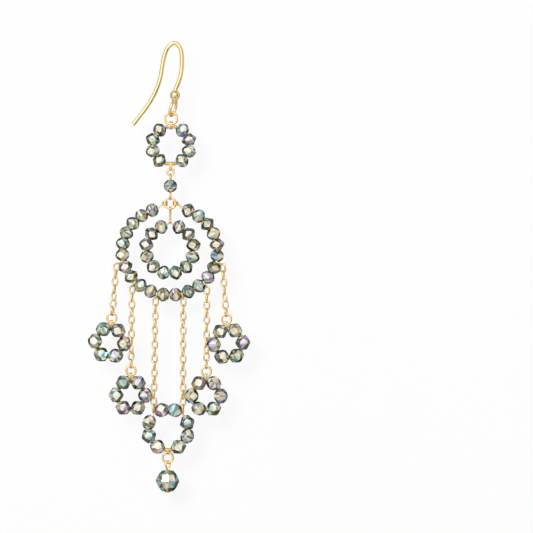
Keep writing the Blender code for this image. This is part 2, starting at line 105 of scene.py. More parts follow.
def addSoftbox(name, place, aim, size, power, height=None):
    lamp = bpy.data.lights.new(name, "AREA")
    lamp.shape = "RECTANGLE" if height else "DISK"
    lamp.size, lamp.energy = size, power
    if height:
        lamp.size_y = height
    obj = bpy.data.objects.new(name, lamp)
    obj.location = place
    obj.rotation_euler = (Vector(place) - Vector(aim)).to_track_quat("Z", "Y").to_euler()
    bpy.context.scene.collection.objects.link(obj)
    return obj


# a flat card that faces the aim, seen only by mirror-like rays unless it is open to the camera
def addCard(name, place, aim, size, material, toCamera=False):
    bm = bmesh.new()
    bmesh.ops.create_grid(bm, x_segments=1, y_segments=1, size=0.5)
    bmesh.ops.scale(bm, vec=(size[0], size[1], 1), verts=bm.verts)
    facing = (Vector(aim) - Vector(place)).to_track_quat("Z", "Y").to_matrix()
    bmesh.ops.rotate(bm, matrix=facing, verts=bm.verts)
    bmesh.ops.translate(bm, vec=place, verts=bm.verts)
    mesh = bpy.data.meshes.new(name)
    bm.to_mesh(mesh)
    bm.free()
    mesh.materials.append(material)
    obj = bpy.data.objects.new(name, mesh)
    bpy.context.scene.collection.objects.link(obj)
    obj.visible_camera = toCamera
    obj.visible_shadow = toCamera
    obj.visible_diffuse = toCamera
    obj.visible_transmission = toCamera
    return obj


# shader maths as plain expressions on sockets
class Sock:
    def __init__(self, shader, link):
        self.shader, self.link = shader, link

    def math(self, operation, *others):
        values = dict(enumerate((self, *others)))
        return self.shader.node("ShaderNodeMath", {"operation": operation}, values)

    def __add__(self, other):
        return self.math("ADD", other)

    def __mul__(self, other):
        return self.math("MULTIPLY", other)

    def __sub__(self, other):
        return self.math("SUBTRACT", other)

    def __rsub__(self, other):
        return self.math("MULTIPLY", -1).math("ADD", other)

    def __gt__(self, other):
        return self.math("GREATER_THAN", other)


class Shader:
    def __init__(self, name):
        self.material = bpy.data.materials.new(name)
        self.material.use_nodes = True
        self.tree = self.material.node_tree
        self.surface = self.tree.nodes["Principled BSDF"]

    def node(self, kind, settings=None, values=None, out=0):
        made = self.tree.nodes.new(kind)
        for key, value in (settings or {}).items():
            if key == "stops":
                self.setStops(made.color_ramp, value)
            else:
                setattr(made, key, value)
        for key, value in (values or {}).items():
            self.feed(made.inputs[key], value)
        return Sock(self, made.outputs[out])

    def setStops(self, ramp, stops):
        while len(ramp.elements) < len(stops):
            ramp.elements.new(0.5)
        for element, (place, colour) in zip(ramp.elements, stops):
            element.position, element.color = place, (*colour, 1)

    def feed(self, socket, value):
        if isinstance(value, Sock):
            self.tree.links.new(value.link, socket)
        else:
            socket.default_value = value

    def set(self, **values):
        for key, value in values.items():
            self.feed(self.surface.inputs[key.replace("_", " ")], value)

    def mix(self, factor, first, second):
        settings = {"data_type": "RGBA", "blend_type": "MIX"}
        return self.node("ShaderNodeMix", settings, {0: factor, 6: first, 7: second}, 2)

    def spot(self, out=3):
        return self.node("ShaderNodeTexCoord", out=out)

    def noise(self, scale):
        return self.node("ShaderNodeTexNoise", values={"Vector": self.spot(), "Scale": scale})

    def facing(self):
        return self.node("ShaderNodeLayerWeight", values={"Blend": 0.5}, out=1)

    def ramp(self, value, low, high):
        values = {"Value": value, "From Min": low, "From Max": high}
        return self.node("ShaderNodeMapRange", {"interpolation_type": "SMOOTHSTEP"}, values)

    def facet(self, channel):
        colour = self.node("ShaderNodeAttribute", {"attribute_name": "facet"})
        return self.node("ShaderNodeSeparateColor", values={0: colour}, out=channel)


class Room(Shader):
    def __init__(self, name):
        self.world = bpy.data.worlds.new(name)
        self.world.use_nodes = True
        self.tree = self.world.node_tree
        self.surface = self.tree.nodes["Background"]


# the gold's colours: two tones mixed at random by clouds, and a dark brown painted in toward the
# wire's rims as painted shade
goldFinish = {
    "bright": (0.94, 0.70, 0.35, 1),
    "deep": (0.87, 0.60, 0.26, 1),
    "paintedEdgeShade": (0.27, 0.15, 0.04, 1),
    "paintedEdgeFrom": 0.38,
    "cloudScale": 420,
    "roughness": (0.11, 0.06),  # the least, and what the clouds add at most
}


def goldMaterial():
    s, look = Shader("polished gold wire"), goldFinish
    cloud = s.noise(look["cloudScale"])
    body = s.mix(cloud, look["deep"], look["bright"])
    # painted shade: the metal's colour darkens toward grazing angles, standing in for dark
    # reflections along the edges
    paintedEdgeShade = s.ramp(s.facing(), look["paintedEdgeFrom"], 1.0)
    s.set(Base_Color=s.mix(paintedEdgeShade, body, look["paintedEdgeShade"]), Metallic=1.0)
    least, more = look["roughness"]
    s.set(Roughness=cloud * more + least)
    return s.material


# smoky crystal with a rainbow coating: each facet carries its own random values, which paint it
# lighter or darker as painted highlights, painted reflections and painted shade
crystalFinish = {
    # from black to cream: the glass's smoky olive, lit and shaded by the painted light level of
    # each facet
    "smokeAndPaintedLight": ((0.0, (0.003, 0.006, 0.002)), (0.25, (0.06, 0.065, 0.022)),
              (0.55, (0.54, 0.50, 0.33)), (0.8, (0.84, 0.79, 0.61)), (1.0, (0.95, 0.92, 0.80))),
    "coat": ((0.0, (0.02, 0.12, 0.13)), (0.25, (0.10, 0.42, 0.48)), (0.45, (0.42, 0.74, 0.86)),
             (0.62, (0.06, 0.13, 0.40)), (0.8, (0.25, 0.16, 0.42)), (1.0, (0.52, 0.46, 0.66))),
    "coatShare": 0.25,
    "coatStrength": 0.8,
    "coatMetal": 0.6,
    "specular": 0.14,
    # how far the facets darken toward the rims: painted shade
    "paintedRimShade": 1.75,
    # where the facets' painted light and shade sit and how far they spread
    "shadeSpread": 0.55,
    "shadeBase": 0.68,
    # cells of painted refraction inside the facets: their size and how far they shift the light
    "paintedRefractionScale": 1500,
    "paintedRefractionDepth": 0.34,
    "cloudScale": 2500,
    "roughness": (0.01, 0.05),  # the least, and what the clouds add at most
    "transmission": 0.5,
    "ior": 1.56,
}


def crystalMaterial():
    s, look = Shader("smoky crystal"), crystalFinish
    shade, tint, share = (s.facet(channel) for channel in range(3))
    # the facing term darkens the facets toward the rims: painted shade standing in for the glass's
    # dark edges
    depth = shade * look["shadeSpread"] + look["shadeBase"] - s.facing() * look["paintedRimShade"]
    # painted refraction: Voronoi cells lighten and darken patches inside each facet, standing in
    # for back facets seen through the glass
    cells = {"Vector": s.spot(), "Scale": look["paintedRefractionScale"]}
    refractionCells = s.node("ShaderNodeTexVoronoi", values=cells, out=1)
    paintedRefraction = s.node("ShaderNodeSeparateColor", values={0: refractionCells})
    depth += paintedRefraction * look["paintedRefractionDepth"] - look["paintedRefractionDepth"] / 2
    smokeAndPaintedLight = s.node("ShaderNodeValToRGB", {"stops": look["smokeAndPaintedLight"]}, {0: depth})
    coat = s.node("ShaderNodeValToRGB", {"stops": look["coat"]}, {0: tint})
    coated = share > 1 - look["coatShare"]
    s.set(Base_Color=s.mix(coated * look["coatStrength"], smokeAndPaintedLight, coat))
    least, more = look["roughness"]
    s.set(Metallic=coated * look["coatMetal"], Roughness=s.noise(look["cloudScale"]) * more + least)
    s.set(IOR=look["ior"], Transmission_Weight=look["transmission"])
    s.set(Specular_IOR_Level=look["specular"])
    return s.material


plainFinish = {"grainScale": 3.0, "grainShade": 0.97, "roughness": 0.9}


def plainMaterial(name, colour):
    s, look = Shader(name), plainFinish
    darker = [part * look["grainShade"] for part in colour]
    grain = s.mix(s.noise(look["grainScale"]), (*colour, 1), (*darker, 1))
    s.set(Base_Color=grain, Roughness=look["roughness"])
    s.set(Alpha=1 - s.node("ShaderNodeNewGeometry", out=6))  # a card shows from its front only
    return s.material


def addRoom():
    room = Room("studio")
    depth = room.node("ShaderNodeSeparateXYZ", values={0: room.spot(0)}, out=1)
    back = room.ramp(depth, *studio["turnsWhite"])
    room.feed(room.surface.inputs["Color"], room.mix(back, studio["front"], studio["backdrop"]))
    bpy.context.scene.world = room.world
    bpy.context.scene.view_settings.view_transform = "Standard"


def addCards():
    dark = plainMaterial("dark card", studio["cardColour"])
    for number, (place, size) in enumerate(studio["darkCards"]):
        addCard(f"darkCard{number}", place, studio["aim"], size, dark)
    pale, side = plainMaterial("pale floor", studio["floorColour"]), studio["floorSide"]
    addCard("floor", (0, 0, -studio["floorDrop"]), (0, 0, 0), (side, side), pale, True)


# the white sheet that takes the soft shadow, and the two lights that shine on it alone
def addSheet():
    white, side = plainMaterial("white sheet", studio["sheetColour"]), studio["sheetSide"]
    aim = Vector(studio["aim"])
    behind = aim + yAxis * studio["sheetBehind"]
    sheet = addCard("shadowSheet", behind, aim - yAxis, (side, side), white, True)
    sheet.visible_glossy = sheet.visible_transmission = False
    sheet.visible_diffuse = sheet.visible_shadow = False
    lit = bpy.data.collections.new("litSheet")
    lit.objects.link(sheet)
    sun = bpy.data.lights.new("sheetLight", "SUN")
    sun.energy, sun.use_shadow = studio["sheetLight"], False
    even = bpy.data.objects.new("sheetLight", sun)
    even.rotation_euler = (math.pi / 2, 0, 0)
    bpy.context.scene.collection.objects.link(even)
    place = bpy.context.scene.camera.location + Vector(studio["castOffset"])
    cast = addSoftbox("castLamp", place, place + yAxis, studio["castSize"], studio["castPower"])
    for lamp in (even, cast):
        lamp.light_linking.receiver_collection = lit


def addStudio():
    addCamera()
    addRoom()
    aim = studio["aim"]
    lamps = {name: addSoftbox(name, aim=aim, **row) for name, row in studio["lamps"].items()}
    lamps["glintLamp"].light_linking.receiver_collection = crystalPieces
    addCards()
    addSheet()


# lengths as in the solids, which lay out the strings, and the fuller cut of the beads seen here
beads = {
    "small": {"length": 2.62 * mm, "cutWidth": 3.7 * mm, "cutLength": 2.96 * mm},
    "long": {"length": 3.05 * mm, "cutWidth": 3.7 * mm, "cutLength": 3.6 * mm},
    # from the flat end to the girdle: along, out, and turned by half a side or not
    "rows": ((1.0, 0.44, 0), (0.6, 0.78, 1), (0.15, 1.0, 0)),
    "sides": 6,
    "beltShare": 0.01,  # four-sided facets nearer to the middle than this share stay flat
}

# wires of the solids, which set where each piece hangs
wires = {
    "play": 0.08 * mm,
    "bail": 0.28 * mm,
    "bailNesting": 0.3,
    "thread": 0.6 * mm,
    "jumpRing": 0.42 * mm,
    "topRing": 0.5 * mm,
    "chain": 0.3 * mm,
    "pin": 0.3 * mm,
    "linkBailExtra": 0.6 * mm,
    "flowerBailExtra": 0.4 * mm,
    "hoopEndDrop": 1.3 * mm,
}

# steps along bent wires
steps = {"smooth": 6, "coil": 10, "bail": 18}


# the radius at which beads at these distances close a full ring
def closingRadius(pitches, halvings=60):
    low, high = max(pitches) / 2, sum(pitches)
    for halving in range(halvings):
        middle = (low + high) / 2
        tooSmall = sum(2 * math.asin(p / (2 * middle)) for p in pitches) > math.tau
        low, high = (middle, high) if tooSmall else (low, middle)
    return high


class BeadRing:
    def __init__(self, kind, gaps, oval=0.0):
        self.length = beads[kind]["length"]
        pitches = [self.length + gap * mm for gap in gaps]
        self.radius = closingRadius(pitches)
        self.wide, self.high = self.radius * (1 + oval), self.radius * (1 - oval)
        self.centre, self.right, self.up = Vector(), xAxis, zAxis
        spans = [2 * math.asin(p / (2 * self.radius)) for p in pitches]
        self.angles = [spans[0] / 2]
        for span in spans[1:]:
            self.angles.append(self.angles[-1] + span)

    def topHeight(self):
        first = self.angles[0]
        return self.radius * math.cos(first) + self.length / 2 * math.sin(first)

    def lowHeight(self):
        low = math.pi - self.angles[len(self.angles) // 2 - 1]
        return self.radius * math.cos(low) + self.length / 2 * math.sin(low)

    def bead(self, index):
        a = self.angles[index]
        offset = self.right * (self.wide * math.sin(a)) + self.up * (self.high * math.cos(a))
        along = self.right * (self.wide * math.cos(a)) - self.up * (self.high * math.sin(a))
        return self.centre + offset, along.normalized()

    def ends(self, index):
        place, along = self.bead(index)
        return place - along * (self.length / 2), place + along * (self.length / 2)

    # the middle of the thread before a bead, and the way out of the ring there
    def slot(self, after):
        thread = (self.ends(after - 1)[1] + self.ends(after)[0]) / 2
        normal = self.right.cross(self.up)
        return thread, normal.cross(self.bead(after)[0] - self.bead(after - 1)[0]).normalized()

    def thread(self):
        return [end for index in range(len(self.angles)) for end in self.ends(index)]


def bailDepth(held):
    nesting = wires["bailNesting"] * (wires["bail"] + wires["thread"])
    return held / 2 + wires["play"] + wires["bail"] / 2 + nesting


def boxMiddle(node):
    low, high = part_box(node)
    return (Vector(low) + Vector(high)) / 2


def boxFoot(node):
    low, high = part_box(node)
    return Vector(((low[0] + high[0]) / 2, (low[1] + high[1]) / 2, low[2]))


# builders that several pieces share
def finishPiece(name, bm, material, body, nodes=()):
    mesh = bpy.data.meshes.new(name)
    bm.to_mesh(mesh)
    bm.free()
    mesh.materials.append(material)
    if material == crystal:
        mesh.shade_flat()
    else:
        mesh.shade_smooth()
    obj = bpy.data.objects.new(name, mesh)
    bpy.context.scene.collection.objects.link(obj)
    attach(obj, body)
    if nodes:
        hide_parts(*nodes)
    if material == crystal:
        crystalPieces.objects.link(obj)


def addWires(bm, paths, thickness, closed=False, roundness=2, smooth=False):
    curve = bpy.data.curves.new("wire", "CURVE")
    curve.dimensions, curve.use_fill_caps = "3D", True
    curve.bevel_depth, curve.bevel_resolution = thickness / 2, roundness
    curve.resolution_u = steps["smooth"]
    for path in paths:
        spline = curve.splines.new("BEZIER" if smooth else "POLY")
        knots = spline.bezier_points if smooth else spline.points
        knots.add(len(path) - 1)
        for knot, place in zip(knots, path):
            if smooth:
                knot.co, knot.handle_left_type, knot.handle_right_type = place, "AUTO", "AUTO"
            else:
                knot.co = (*place, 1)
        spline.use_cyclic_u = closed
    obj = bpy.data.objects.new("wire", curve)
    mesh = bpy.data.meshes.new_from_object(obj)
    bm.from_mesh(mesh)
    bpy.data.objects.remove(obj)
    bpy.data.curves.remove(curve)
    bpy.data.meshes.remove(mesh)


def loop(centre, right, up, wide, high, count):
    turns = [math.tau * (i + 0.5) / count for i in range(count)]
    return [centre + right * (wide * math.cos(t)) + up * (high * math.sin(t)) for t in turns]


# a coil of fine wire from start to end
def addCoil(bm, start, end, wrap, side=yAxis):
    axis = (end - start).normalized()
    across = (side - axis * side.dot(axis)).normalized()
    third = axis.cross(across)
    radius, count = wrap["radius"], int(wrap["turns"] * steps["coil"])
    path = []
    for i in range(count + 1):
        a = math.tau * i / steps["coil"]
        offset = across * (radius * math.cos(a)) + third * (radius * math.sin(a))
        path.append(start.lerp(end, i / count) + offset)
    addWires(bm, [path], wrap["wire"])


# wraps on a level stretch of thread, on either side of what hangs there
def addWraps(bm, middle, wrap):
    for side in (-1, 1):
        start, end = (middle + xAxis * (side * wrap[key]) for key in ("from", "to"))
        addCoil(bm, start, end, wrap)


# a bail round what is held, straight-sided and drawn out toward its string
def addBail(bm, held, heldWire, toward, extra, wire):
    radius = heldWire / 2 + wires["play"] + wire / 2
    path = loop(held, yAxis, toward, radius, radius, steps["bail"])
    path = [place + toward * (extra if (place - held).dot(toward) > 0 else 0) for place in path]
    addWires(bm, [path], wire, closed=True)


# from end to end and round the bead, so that the same facets get the same looks each time
def facetOrder(face):
    middle = face.calc_center_median()
    level, turn = round(middle.z * 1e5), math.atan2(middle.y, middle.x)
    return level * 10 + turn


# one cut bead, grown face by face from its flat end
def beadTemplate(width, length, sides, endRows):
    rows = [(-along, out, turn) for along, out, turn in endRows]
    rows += reversed(endRows)
    bm = bmesh.new()
    bmesh.ops.create_circle(bm, cap_ends=True, segments=sides, radius=width / 2 * rows[0][1])
    bmesh.ops.translate(bm, vec=zAxis * (rows[0][0] * length / 2), verts=bm.verts)
    face = bm.faces[:][0]
    for (low, small, turn), (high, big, nextTurn) in zip(rows, rows[1:]):
        grown = bmesh.ops.extrude_face_region(bm, geom=[face])["geom"]
        corners = [part for part in grown if isinstance(part, bmesh.types.BMVert)]
        top = [part for part in grown if isinstance(part, bmesh.types.BMFace)][0]
        if face.is_valid and low > -1:
            bmesh.ops.delete(bm, geom=[face], context="FACES_ONLY")
        bmesh.ops.scale(bm, vec=(big / small, big / small, 1), verts=corners)
        twist = Matrix.Rotation((nextTurn - turn) * math.pi / sides, 3, "Z")
        bmesh.ops.rotate(bm, matrix=twist, verts=corners)
        bmesh.ops.translate(bm, vec=zAxis * ((high - low) * length / 2), verts=corners)
        face = top
    belt = length * beads["beltShare"]
    bent = [f for f in bm.faces if len(f.verts) == 4 and abs(f.calc_center_median().z) >= belt]
    bmesh.ops.triangulate(bm, faces=bent)
    bmesh.ops.recalc_face_normals(bm, faces=bm.faces)
    bm.faces.sort(key=facetOrder)
    mesh = bpy.data.meshes.new("beadTemplate")
    bm.to_mesh(mesh)
    bm.free()
    return mesh


# how far a bead's overall painted light, a facet's painted light and shade, and a facet's hue are
# drawn apart
facetDraw = {"clear": 0.12, "shade": (1.6, 1.8), "hue": 0.13}


def addBead(bm, template, place, along, turn=None, lift=0.0):
    layer = bm.faces.layers.float_color.get("facet") or bm.faces.layers.float_color.new("facet")
    oldVerts, oldFaces = len(bm.verts), len(bm.faces)
    bm.from_mesh(template)
    bm.verts.ensure_lookup_table()
    bm.faces.ensure_lookup_table()
    spin = Matrix.Rotation(dice.uniform(0, math.tau) if turn is None else turn, 4, "Z")
    pose = Matrix.Translation(place) @ along.to_track_quat("Z", "Y").to_matrix().to_4x4() @ spin
    bmesh.ops.transform(bm, matrix=pose, verts=bm.verts[oldVerts:])
    hue, clear = dice.random(), dice.uniform(-facetDraw["clear"], facetDraw["clear"])
    # each facet's shade is painted light and shade, standing in for its glints and reflections
    for face in bm.faces[oldFaces:]:
        shade = min(1, max(0, dice.betavariate(*facetDraw["shade"]) + clear + lift))
        tint = (hue + dice.gauss(0, facetDraw["hue"])) % 1
        face[layer] = (shade, tint, dice.random(), 1)


def beadString(name, ring, template, nodes):
    bm = bmesh.new()
    for index in range(len(ring.angles)):
        addBead(bm, template, *ring.bead(index))
    finishPiece(name, bm, crystal, "drop", nodes)


earWire = {
    "thickness": 1.0 * mm,
    "reach": 10.4 * mm,
    "drop": 20.4 * mm,
    "ball": 2.5 * mm,
    "ballDrop": 12.95 * mm,
    "ballOffset": 0.3 * mm,
    "ballSegments": 32,
    "ballRings": 20,
    "loopWire": 0.72 * mm,
    "loopNeck": 0.2 * mm,  # from the ball down to the loop's middle line
    "loopHeight": 4.65 * mm,
    "loopWidth": 3.6 * mm,
    "loopTurn": math.radians(66),
    "loopPoints": 40,
    "collar": {"radius": 0.52 * mm, "turns": 3, "wire": 0.34 * mm},
    "collarFrom": 1.05 * mm,  # below the ball's middle
    "collarLength": 0.9 * mm,
    "route": ((0.032, 0.600), (0.045, 0.560), (0.108, 0.480), (0.164, 0.385), (0.184, 0.300),
              (0.192, 0.215), (0.182, 0.135), (0.128, 0.040), (0.015, -0.004), (-0.128, 0.036),
              (-0.222, 0.135), (-0.282, 0.280), (-0.322, 0.410), (-0.395, 0.535), (-0.505, 0.660),
              (-0.655, 0.785), (-0.815, 0.893), (-0.975, 1.000)),  # across and down, as shares
}


def makeEarWire():
    e = earWire
    crown = zAxis * (e["thickness"] / 2)
    route = [crown + xAxis * (a * e["reach"]) - zAxis * (d * e["drop"]) for a, d in e["route"]]
    ball = crown + xAxis * e["ballOffset"] - zAxis * e["ballDrop"]
    bm = bmesh.new()
    addWires(bm, [route], e["thickness"], roundness=6, smooth=True)
    bmesh.ops.create_uvsphere(bm, u_segments=e["ballSegments"], v_segments=e["ballRings"],
                              radius=e["ball"] / 2, matrix=Matrix.Translation(ball))
    top = ball - zAxis * (e["ball"] / 2 + e["loopNeck"])
    bottom = Vector((plumb, 0, top.z - e["loopHeight"] + e["thickness"]))
    right = xAxis * math.cos(e["loopTurn"]) + yAxis * math.sin(e["loopTurn"])
    middle, up = (top + bottom) / 2, (top - bottom) / 2
    path = loop(middle, right, up, (e["loopWidth"] - e["loopWire"]) / 2, 1.0, e["loopPoints"])
    addWires(bm, [path], e["loopWire"], closed=True, roundness=4)
    neck = ball - zAxis * e["collarFrom"]
    addCoil(bm, neck, neck - zAxis * e["collarLength"], e["collar"], xAxis)
    finishPiece("earWire", bm, gold, "ear_hook", ["ear_wire"])


# the cut's place and width are shares of the turn
jumpRings = {
    "top": {"width": 3.6 * mm, "wire": 0.6 * mm, "cut": 0.04},
    "link": {"width": 2.15 * mm, "wire": 0.48 * mm, "cut": 0.7},
    "connector": {"width": 3.25 * mm, "wire": 0.58 * mm, "cut": 0.7},
    "flower": {"width": 2.9 * mm, "wire": 0.6 * mm, "cut": 0.08},
    "bottom": {"width": 3.15 * mm, "wire": 0.6 * mm, "cut": 0.4},
    "cutWidth": 0.012,
    "points": 36,
}


# a jump ring is bent round and cut: its ends stand a hair apart
def makeJumpRing(name, kind, node, body, right=xAxis, up=zAxis):
    size, gap, count = jumpRings[kind], jumpRings["cutWidth"], jumpRings["points"]
    centre, radius = boxMiddle(node), (size["width"] - size["wire"]) / 2
    path = []
    for i in range(count + 1):
        a = math.tau * (size["cut"] + gap / 2 + (1 - gap) * i / count)
        path.append(centre + right * (radius * math.cos(a)) + up * (radius * math.sin(a)))
    bm = bmesh.new()
    addWires(bm, [path], size["wire"], roundness=3)
    finishPiece(name, bm, gold, body, [node])


topString = {
    "gaps": (3.06, 0.26, 0.26, 0.26, 3.06, 0.26, 0.26, 0.26),  # between the beads, in mm
    "thread": 0.32 * mm,
    "topWrap": {"from": 0.72 * mm, "to": 1.5 * mm, "radius": 0.32 * mm, "turns": 2.5,
                "wire": 0.32 * mm},
    "lowWrap": {"from": 0.1 * mm, "to": 1.5 * mm, "radius": 0.32 * mm, "turns": 4.5,
                "wire": 0.32 * mm},
    "bailWire": 0.32 * mm,
    "bailApart": (0.28 * mm, 0.168 * mm),  # above and below
    "bailShare": 0.9,  # how far the upper bails reach toward the thread
    "lowBailMore": 0.5 * mm,
}


def makeTopString():
    size = topString
    held = boxFoot("top_jump_ring") + zAxis * (wires["topRing"] / 2)
    ring = BeadRing("small", size["gaps"])
    ring.centre = held - zAxis * (bailDepth(wires["topRing"]) + ring.topHeight())
    beadString("topBeads", ring, smallBead, ["top_bead_ring"])
    bm = bmesh.new()
    addWires(bm, [ring.thread()], size["thread"], closed=True)
    knot, lowKnot = ring.centre + zAxis * ring.topHeight(), ring.centre - zAxis * ring.lowHeight()
    addWraps(bm, knot, size["topWrap"])
    addWraps(bm, lowKnot, size["lowWrap"])
    lowHeld = lowKnot - zAxis * (bailDepth(wires["chain"]) + wires["linkBailExtra"])
    reach, heldWire = (held - knot).length * size["bailShare"], jumpRings["top"]["wire"]
    lowReach = wires["linkBailExtra"] + size["lowBailMore"]
    for shift in (-1, 0, 1):
        off, lowOff = (xAxis * (shift * apart) for apart in size["bailApart"])
        addBail(bm, held + off, heldWire, -zAxis, reach, size["bailWire"])
        addBail(bm, lowHeld + lowOff, wires["chain"], zAxis, lowReach, size["bailWire"])
    finishPiece("topThread", bm, gold, "drop")


linkPiece = {
    "topEye": 0.72 * mm,
    "lowEye": 0.95 * mm,
    "eyePoints": 24,
    "wire": 0.46 * mm,
    "beadTurn": 0.1,
    "wrap": {"radius": 0.27 * mm, "turns": 2, "wire": 0.24 * mm},
}


def makeLink():
    size = linkPiece
    bead = boxMiddle("link_bead")
    bm = bmesh.new()
    addBead(bm, smallBead, bead, zAxis, size["beadTurn"])
    finishPiece("linkBead", bm, crystal, "drop", ["link_bead"])
    low, high = (Vector(corner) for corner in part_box("link_pin"))
    topEye = Vector((plumb, 0, high.z - size["topEye"] - size["wire"] / 2))
    lowEye = Vector((plumb, 0, low.z + size["lowEye"] + size["wire"] / 2))
    bm = bmesh.new()
    for eye, radius in ((topEye, size["topEye"]), (lowEye, size["lowEye"])):
        path = loop(eye, yAxis, zAxis, radius, radius, size["eyePoints"])
        addWires(bm, [path], size["wire"], closed=True)
    stem = [topEye - zAxis * size["topEye"], lowEye + zAxis * size["lowEye"]]
    addWires(bm, [stem], size["wire"])
    half = zAxis * (beads["small"]["length"] / 2)
    for start, end in ((bead + half, stem[0]), (bead - half, stem[1])):
        addCoil(bm, start, end, size["wrap"])
    finishPiece("linkPin", bm, gold, "drop", ["link_pin"])


# gaps between the beads in mm, wider where a chain hangs
hoops = {
    "outerGaps": (6.0, *[0.55 if k in (6, 8, 10, 12, 14, 16) else 0.3 for k in range(1, 22)]),
    "innerGaps": (1.8, *[0.36] * 11),
    "oval": 0.04,
    "connectorRadius": 1.34 * mm,
    "thread": 0.5 * mm,
    "endWrap": {"pitch": 0.32 * mm, "tuck": 0.048 * mm, "wire": 0.36 * mm, "points": 16},
    "apex": 0.75 * mm,  # the inner hoop's thread is pulled up into a low peak
}


def makeOuterHoop():
    ring = BeadRing("small", hoops["outerGaps"], hoops["oval"])
    connector = boxMiddle("connector_ring")
    ring.centre = connector - zAxis * (wires["hoopEndDrop"] + ring.ends(0)[0].z)
    beadString("outerHoopBeads", ring, smallBead, ["outer_hoop"])
    bm = bmesh.new()
    eye = wires["jumpRing"] / 2 + wires["play"] + hoops["thread"] / 2
    reach = xAxis * (hoops["connectorRadius"] + eye)
    addWires(bm, [[connector + reach, *ring.thread(), connector - reach]], hoops["thread"])
    wrap = hoops["endWrap"]
    for side in (-1, 1):
        for step in (-1, 0, 1):
            out = side * (hoops["connectorRadius"] - abs(step) * wrap["tuck"])
            spot = connector + xAxis * out + zAxis * (step * wrap["pitch"])
            path = loop(spot, xAxis, yAxis, eye, eye, wrap["points"])
            addWires(bm, [path], wrap["wire"], closed=True)
    finishPiece("outerHoopThread", bm, gold, "drop")
    return ring


# returns the thread's peak, where the hanger holds it
def makeInnerHoop():
    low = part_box("hoop_hanger")[0]
    thread = Vector((plumb, 0, low[2] + wires["pin"] + wires["thread"] / 2 + wires["play"]))
    ring = BeadRing("small", hoops["innerGaps"])
    ring.centre = thread - zAxis * ring.topHeight()
    beadString("innerHoopBeads", ring, smallBead, ["inner_hoop"])
    bm = bmesh.new()
    peak = thread + zAxis * hoops["apex"]
    addWires(bm, [[*ring.thread(), peak]], hoops["thread"], closed=True)
    finishPiece("innerHoopThread", bm, gold, "drop")
    return peak


hanger = {
    "topEye": 0.5 * mm,
    "topInset": 0.65 * mm,  # from the solid's top down to the upper eyes' middle
    "lowEye": 0.42 * mm,
    "lowLift": 0.18 * mm,
    "eyesApart": 0.13 * mm,
    "eyeWire": 0.32 * mm,
    "eyePoints": 18,
    "stem": 0.5 * mm,
    "wrapShare": 0.45,
    "wrap": {"radius": 0.26 * mm, "turns": 3, "wire": 0.2 * mm},
}


def makeHanger(peak):
    size = hanger
    high = Vector(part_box("hoop_hanger")[1])
    topEye = Vector((plumb, 0, high.z - size["topInset"]))
    lowEye = peak + zAxis * size["lowLift"]
    bm = bmesh.new()
    for middle, radius in ((topEye, size["topEye"]), (lowEye, size["lowEye"])):
        for side in (-1, 1):
            spot = middle + xAxis * (side * size["eyesApart"])
            path = loop(spot, yAxis, zAxis, radius, radius, size["eyePoints"])
            addWires(bm, [path], size["eyeWire"], closed=True)
    start, end = topEye - zAxis * size["topEye"], lowEye + zAxis * size["lowEye"]
    addWires(bm, [[start, end]], size["stem"])
    addCoil(bm, start, start.lerp(end, size["wrapShare"]), size["wrap"])
    finishPiece("hoopHanger", bm, gold, "drop", ["hoop_hanger"])


chains = {
    "linkLength": 2.58 * mm,
    "linkWidth": 1.7 * mm,
    "linkPoints": 14,
    "wire": 0.44 * mm,
    "squareness": 0.3,  # how far an oval link is filled out toward a straight-sided one
    "pitch": 1.84 * mm,
    "press": 0.22 * mm,  # the first link hangs this far inside the link that holds it
    "twisted": 3,
    "phase": math.radians(16),  # the strands hang a little twisted, so every link shows its opening
    "shake": 0.16,
    "strandsInAll": 6,
    # reach in mm, droop and lean in degrees; the middle strands lead to the bottom ring instead
    "strands": (
        {"number": 1, "slot": 6, "reach": 1.75, "droop": 9.0, "count": 7, "lean": 4.6},
        {"number": 2, "slot": 8, "reach": 1.50, "droop": 13.0, "count": 11, "lean": 0.2},
        {"number": 3, "slot": 10, "reach": 1.30, "droop": 0.0, "count": 16, "lean": None},
    ),
}


def linkPath(top, down, side, length):
    high, wide = (length - chains["wire"]) / 2, (chains["linkWidth"] - chains["wire"]) / 2
    middle, path = top + down * high, []
    for i in range(chains["linkPoints"]):
        a = math.tau * (i + 0.5) / chains["linkPoints"]
        out, on = math.cos(a), math.sin(a)
        fuller = 1 + chains["squareness"] * abs(out * on)
        path.append(middle + side * (wide * out * fuller) + down * (high * on))
    return path


def turnedDown(direction, angle):
    c, s = math.cos(angle), math.sin(angle)
    return Vector((direction.x * c + direction.z * s, 0, direction.z * c - direction.x * s))


